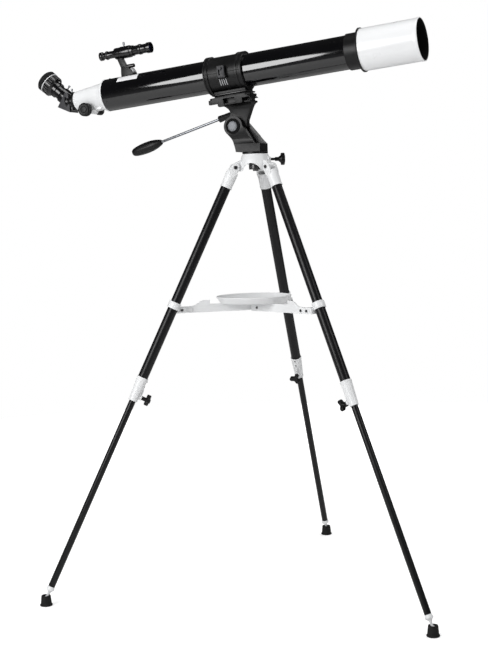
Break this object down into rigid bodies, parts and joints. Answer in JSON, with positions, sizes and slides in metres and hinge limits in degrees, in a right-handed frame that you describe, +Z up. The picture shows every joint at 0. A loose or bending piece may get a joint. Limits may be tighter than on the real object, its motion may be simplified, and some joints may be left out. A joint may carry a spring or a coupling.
{
  "type": "telescope on tripod",
  "caption": "Refracting telescope with focuser, diagonal, eyepiece and finder, in a hinged ring on a pan and tilt head with a handle, on a tripod with telescopic legs, folding brace and tray.",
  "frame": {"origin": "centre of the bounding box on the floor plane", "axes": "+Z up, the telescope points along +X and 5.7 degrees upwards, the latch of the tube ring is on the -Y side"},
  "size_m": [1.0302, 0.8228, 1.2782],
  "materials": {
    "white_plastic": "moulded white ABS, satin gloss",
    "black_plastic": "moulded black plastic, fine texture",
    "grey_plastic": "moulded dark grey plastic",
    "black_leg_paint": "semi-gloss black paint on steel tube",
    "black_enamel": "high-gloss black enamel on aluminium tube",
    "white_enamel": "gloss white enamel",
    "foot_rubber": "moulded black rubber",
    "zinc_steel": "zinc plated",
    "chrome": "bright chromed rod",
    "brass": "turned brass pinion on its shaft",
    "lens_glass": "coated glass"
  },
  "bodies": {
    "stand": {"tripod_hub": "white_plastic", "hinge_pin_1": "zinc_steel", "hinge_pin_2": "zinc_steel", "hinge_pin_3": "zinc_steel"},
    "leg_1": {"leg_knuckle_1": "white_plastic", "leg_upper_1": "black_leg_paint", "leg_clamp_1": "white_plastic", "brace_band_1": "white_plastic"},
    "lower_leg_1": {"leg_lower_1": "black_leg_paint", "leg_tip_1": "white_plastic"},
    "foot_1": {"foot_1": "foot_rubber"},
    "clamp_knob_1": {"clamp_knob_1": "black_plastic"},
    "brace_arm_1": {"brace_arm_1": "white_plastic"},
    "leg_2": {"leg_knuckle_2": "white_plastic", "leg_upper_2": "black_leg_paint", "leg_clamp_2": "white_plastic", "brace_band_2": "white_plastic"},
    "lower_leg_2": {"leg_lower_2": "black_leg_paint", "leg_tip_2": "white_plastic"},
    "foot_2": {"foot_2": "foot_rubber"},
    "clamp_knob_2": {"clamp_knob_2": "black_plastic"},
    "brace_arm_2": {"brace_arm_2": "white_plastic"},
    "leg_3": {"leg_knuckle_3": "white_plastic", "leg_upper_3": "black_leg_paint", "leg_clamp_3": "white_plastic", "brace_band_3": "white_plastic"},
    "lower_leg_3": {"leg_lower_3": "black_leg_paint", "leg_tip_3": "white_plastic"},
    "foot_3": {"foot_3": "foot_rubber"},
    "clamp_knob_3": {"clamp_knob_3": "black_plastic"},
    "brace_arm_3": {"brace_arm_3": "white_plastic"},
    "brace_hub": {"brace_hub": "white_plastic"},
    "tray": {"tray": "white_plastic"},
    "pan_knob": {"pan_knob": "black_plastic"},
    "pan_head": {"pan_disc": "black_plastic", "pan_spigot": "black_plastic", "head_base": "black_plastic", "tilt_axle": "black_plastic", "tilt_cap": "zinc_steel"},
    "telescope": {"tilt_head": "black_plastic", "mount_plate": "black_plastic", "ring_lower": "black_plastic", "main_tube": "black_enamel", "lens_cell": "black_plastic", "objective_lens": "lens_glass", "dew_shield": "white_enamel", "focuser_housing": "white_plastic", "finder_tube": "black_plastic", "finder_bracket": "black_plastic"},
    "handle": {"handle_rod": "chrome", "handle_grip": "black_plastic"},
    "ring_upper": {"ring_upper": "black_plastic"},
    "ring_latch": {"ring_latch": "grey_plastic"},
    "drawtube": {"drawtube": "black_plastic"},
    "focus_knobs": {"focus_shaft": "brass", "focus_knob_1": "black_plastic", "focus_knob_2": "black_plastic"},
    "diagonal": {"diagonal": "grey_plastic"},
    "eyepiece": {"eyepiece": "black_plastic"}
  },
  "joints": [
    {"name": "leg_fold_1", "type": "hinge", "parent": "stand", "child": "leg_1", "pos_m": [0.03888, -0.06348, 0.97353], "axis": [-0.9976, -0.0698, 0], "range_deg": [0, 24]},
    {"name": "leg_extend_1", "type": "slide", "parent": "leg_1", "child": "lower_leg_1", "axis": [0.0303, -0.4334, 0.9007], "range_m": [0, 0.42]},
    {"name": "foot_tilt_1", "type": "hinge", "parent": "lower_leg_1", "child": "foot_1", "pos_m": [0.00667, 0.39725, 0.016], "axis": [-0.9976, -0.0698, 0], "range_deg": [-48, 0]},
    {"name": "clamp_screw_1", "type": "hinge", "parent": "leg_1", "child": "clamp_knob_1", "pos_m": [0.02188, 0.17965, 0.46824], "axis": [-0.0628, 0.8985, 0.4344], "range_deg": [0, 360]},
    {"name": "brace_fold_1", "type": "hinge", "parent": "leg_1", "child": "brace_arm_1", "pos_m": [0.0311, 0.04775, 0.65605], "axis": [-0.9976, -0.0698, 0], "range_deg": [0, 62.5]},
    {"name": "leg_fold_2", "type": "hinge", "parent": "stand", "child": "leg_2", "pos_m": [0.00206, -0.13898, 0.97353], "axis": [0.5592, -0.829, 0], "range_deg": [0, 24]},
    {"name": "leg_extend_2", "type": "slide", "parent": "leg_2", "child": "lower_leg_2", "axis": [0.3602, 0.2429, 0.9007], "range_m": [0, 0.42]},
    {"name": "foot_tilt_2", "type": "hinge", "parent": "lower_leg_2", "child": "foot_2", "pos_m": [-0.38084, -0.39725, 0.016], "axis": [0.5592, -0.829, 0], "range_deg": [-48, 0]},
    {"name": "clamp_screw_2", "type": "hinge", "parent": "leg_2", "child": "clamp_knob_2", "pos_m": [-0.2, -0.27527, 0.46824], "axis": [-0.7467, -0.5037, 0.4344], "range_deg": [0, 360]},
    {"name": "brace_fold_2", "type": "hinge", "parent": "leg_2", "child": "brace_arm_2", "pos_m": [-0.09038, -0.20134, 0.65605], "axis": [0.5592, -0.829, 0], "range_deg": [0, 62.5]},
    {"name": "leg_fold_3", "type": "hinge", "parent": "stand", "child": "leg_3", "pos_m": [0.08586, -0.13312, 0.97353], "axis": [0.4384, 0.8988, 0], "range_deg": [0, 24]},
    {"name": "leg_extend_3", "type": "slide", "parent": "leg_3", "child": "lower_leg_3", "axis": [-0.3905, 0.1904, 0.9007], "range_m": [0, 0.42]},
    {"name": "foot_tilt_3", "type": "hinge", "parent": "lower_leg_3", "child": "foot_3", "pos_m": [0.50097, -0.33559, 0.016], "axis": [0.4384, 0.8988, 0], "range_deg": [-48, 0]},
    {"name": "clamp_screw_3", "type": "hinge", "parent": "leg_3", "child": "clamp_knob_3", "pos_m": [0.30492, -0.23997, 0.46824], "axis": [0.8095, -0.3948, 0.4344], "range_deg": [0, 360]},
    {"name": "brace_fold_3", "type": "hinge", "parent": "leg_3", "child": "brace_arm_3", "pos_m": [0.18608, -0.182, 0.65605], "axis": [0.4384, 0.8988, 0], "range_deg": [0, 62.5]},
    {"name": "brace_rise", "type": "slide", "parent": "stand", "child": "brace_hub", "axis": [0, 0, 1], "range_m": [0, 0.1305]},
    {"name": "tray_lift", "type": "slide", "parent": "brace_hub", "child": "tray", "axis": [0.1574, -0.8924, 0.4229], "range_m": [0, 0.36]},
    {"name": "pan_lock", "type": "hinge", "parent": "stand", "child": "pan_knob", "pos_m": [0.04227, -0.11186, 0.99103], "axis": [0.829, 0.5592, 0], "range_deg": [0, 360]},
    {"name": "pan", "type": "hinge", "parent": "stand", "child": "pan_head", "pos_m": [0.04227, -0.11186, 1.00403], "axis": [0, 0, 1], "continuous": true},
    {"name": "tilt", "type": "hinge", "parent": "pan_head", "child": "telescope", "pos_m": [-0.00063, -0.11186, 1.06683], "axis": [0, -1, 0], "range_deg": [-20, 50]},
    {"name": "handle_twist", "type": "hinge", "parent": "telescope", "child": "handle", "pos_m": [-0.00364, -0.11186, 1.09698], "axis": [-0.9579, 0, -0.2872], "range_deg": [0, 360]},
    {"name": "ring_open", "type": "hinge", "parent": "telescope", "child": "ring_upper", "pos_m": [-0.01646, -0.06726, 1.18635], "axis": [-0.9951, 0, -0.0991], "range_deg": [0, 100]},
    {"name": "latch_swing", "type": "hinge", "parent": "telescope", "child": "ring_latch", "pos_m": [-0.01388, -0.16186, 1.17555], "axis": [0.9951, 0, 0.0991], "range_deg": [0, 90]},
    {"name": "focus", "type": "slide", "parent": "telescope", "child": "drawtube", "axis": [-0.9951, 0, -0.0991], "range_m": [0, 0.06]},
    {"name": "focus_turn", "type": "hinge", "parent": "telescope", "child": "focus_knobs", "pos_m": [-0.3733, -0.11186, 1.12257], "axis": [0, -1, 0], "range_deg": [0, 676]},
    {"name": "diagonal_turn", "type": "hinge", "parent": "drawtube", "child": "diagonal", "pos_m": [-0.41947, -0.11186, 1.1462], "axis": [-0.9951, 0, -0.0991], "continuous": true},
    {"name": "eyepiece_out", "type": "slide", "parent": "diagonal", "child": "eyepiece", "axis": [-0.7737, 0, 0.6335], "range_m": [0, 0.03]}
  ],
  "couplings": [
    {"joint": "leg_fold_2", "follows": "leg_fold_1", "ratio": 1},
    {"joint": "leg_fold_3", "follows": "leg_fold_1", "ratio": 1},
    {"joint": "brace_fold_1", "follows": "leg_fold_1", "ratio": 2.6},
    {"joint": "brace_fold_2", "follows": "leg_fold_1", "ratio": 2.6},
    {"joint": "brace_fold_3", "follows": "leg_fold_1", "ratio": 2.6},
    {"joint": "brace_rise", "follows": "leg_fold_1", "m_per_rad": 0.3099},
    {"joint": "tray_lift", "follows": "leg_fold_1", "m_per_rad": 0.859},
    {"joint": "focus_turn", "follows": "focus", "rad_per_m": 196.35}
  ]
}
